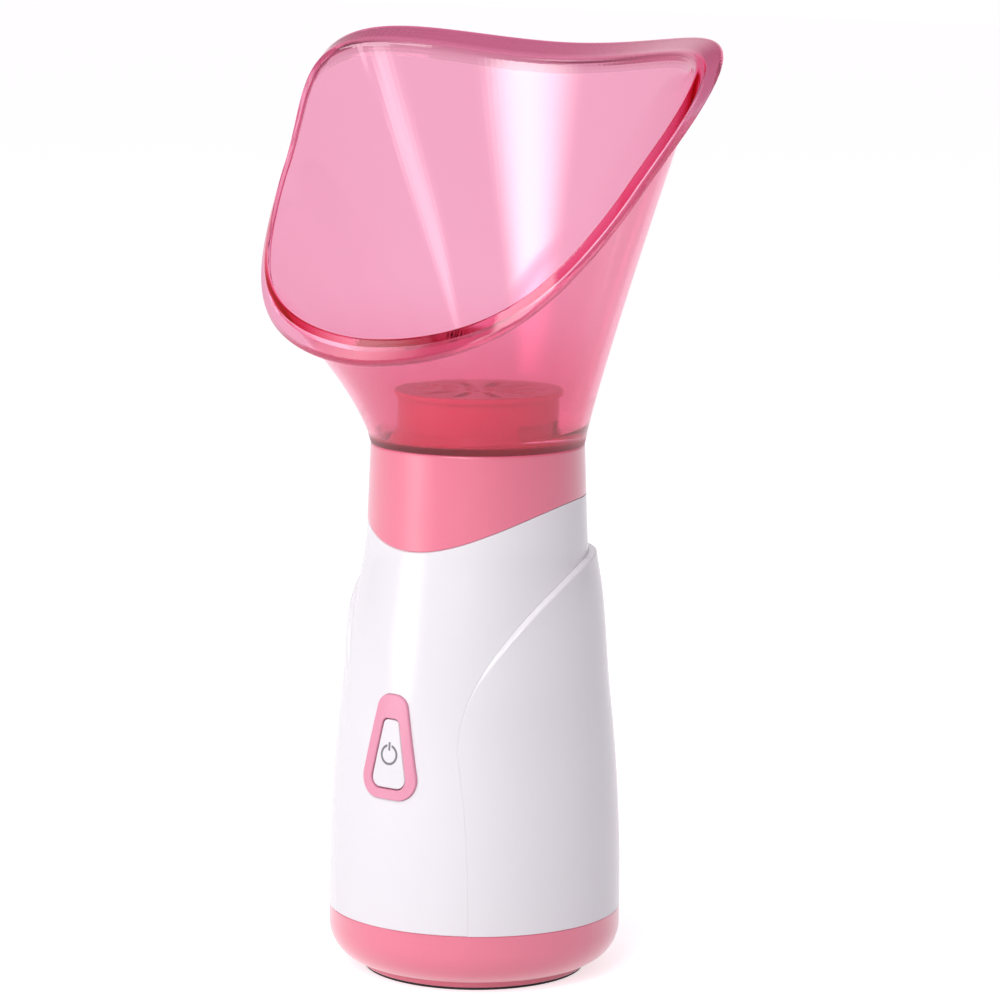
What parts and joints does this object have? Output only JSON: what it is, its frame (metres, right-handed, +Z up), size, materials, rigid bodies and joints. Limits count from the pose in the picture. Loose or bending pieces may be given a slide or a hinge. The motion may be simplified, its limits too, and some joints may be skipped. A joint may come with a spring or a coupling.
{
  "type": "facial steamer",
  "caption": "Handheld-size upright facial steamer: heated water cup in a round housing, steam nozzle, and a tilted clear face mask that lifts off and turns.",
  "frame": {"origin": "centre of the rubber foot ring on the surface the steamer stands on", "axes": "+Z up the housing's axis, -Y towards the front (button and mask mouth), +X to the right seen from the front"},
  "size_m": [0.142, 0.1027, 0.2721],
  "materials": {
    "white_housing": "gloss white moulded plastic",
    "pink_body": "satin-gloss pink moulded plastic",
    "white_button": "gloss white",
    "grey_mark": "printed grey",
    "black_plastic": "matte",
    "board_green": "solder-masked laminate",
    "led_lens": "clear red",
    "capacitor_yellow": "gloss",
    "terminal_green": "satin",
    "brass_pins": "polished",
    "lead_brown": "satin insulation",
    "lead_blue": "satin insulation",
    "lead_red": "satin insulation",
    "cup_aluminium": "anodised satin",
    "heater_aluminium": "mill finish",
    "zinc_steel": "zinc plated",
    "fuse_metal": "plated",
    "silicone": "translucent silicone",
    "foot_rubber": "matte",
    "nozzle_pink": "gloss",
    "mask_clear_pink": "clear tinted, gloss"
  },
  "bodies": {
    "housing": {"front_housing": "white_housing", "rear_housing": "white_housing", "collar_ring": "pink_body", "collar_screws": "zinc_steel", "base_cover": "pink_body", "foot_ring": "foot_rubber", "base_screws": "zinc_steel", "button_bezel": "pink_body", "push_switch": "black_plastic", "control_board": "board_green", "board_screws": "zinc_steel", "indicator_led": "led_lens", "heater_triac": "black_plastic", "film_capacitor": "capacitor_yellow", "terminal_block": "terminal_green", "inlet_socket": "black_plastic", "inlet_screws": "zinc_steel", "inlet_pins": "brass_pins", "lead_live": "lead_brown", "lead_neutral": "lead_blue", "lead_heater_a": "lead_red", "lead_heater_b": "lead_red", "water_cup": "cup_aluminium", "cup_gasket": "silicone", "heater_plate": "heater_aluminium", "ptc_heater": "heater_aluminium", "clamp_plate": "zinc_steel", "clamp_nuts": "zinc_steel", "thermostat": "black_plastic", "thermal_fuse": "fuse_metal"},
    "button": {"button_cap": "white_button", "power_mark": "grey_mark"},
    "plunger": {"switch_plunger": "white_button"},
    "seal": {"mask_seal": "silicone"},
    "mask": {"face_mask": "mask_clear_pink"},
    "nozzle": {"nozzle_cap": "nozzle_pink", "splash_baffle": "nozzle_pink", "nozzle_gasket": "silicone"}
  },
  "joints": [
    {"name": "button_press", "type": "slide", "parent": "housing", "child": "button", "axis": [0, 1, 0], "range_m": [0, 0.0012], "stiffness_N_per_m": 900},
    {"name": "plunger_press", "type": "slide", "parent": "housing", "child": "plunger", "axis": [0, 1, 0], "range_m": [0, 0.0012], "stiffness_N_per_m": 300},
    {"name": "mask_lift", "type": "slide", "parent": "housing", "child": "seal", "axis": [0, 0, 1], "range_m": [0, 0.07]},
    {"name": "mask_swivel", "type": "hinge", "parent": "seal", "child": "mask", "pos_m": [0, 0, 0.15], "axis": [0, 0, 1], "continuous": true},
    {"name": "nozzle_lift", "type": "slide", "parent": "housing", "child": "nozzle", "axis": [0, 0, 1], "range_m": [0, 0.03]}
  ],
  "couplings": [
    {"joint": "plunger_press", "follows": "button_press", "ratio": 1}
  ]
}
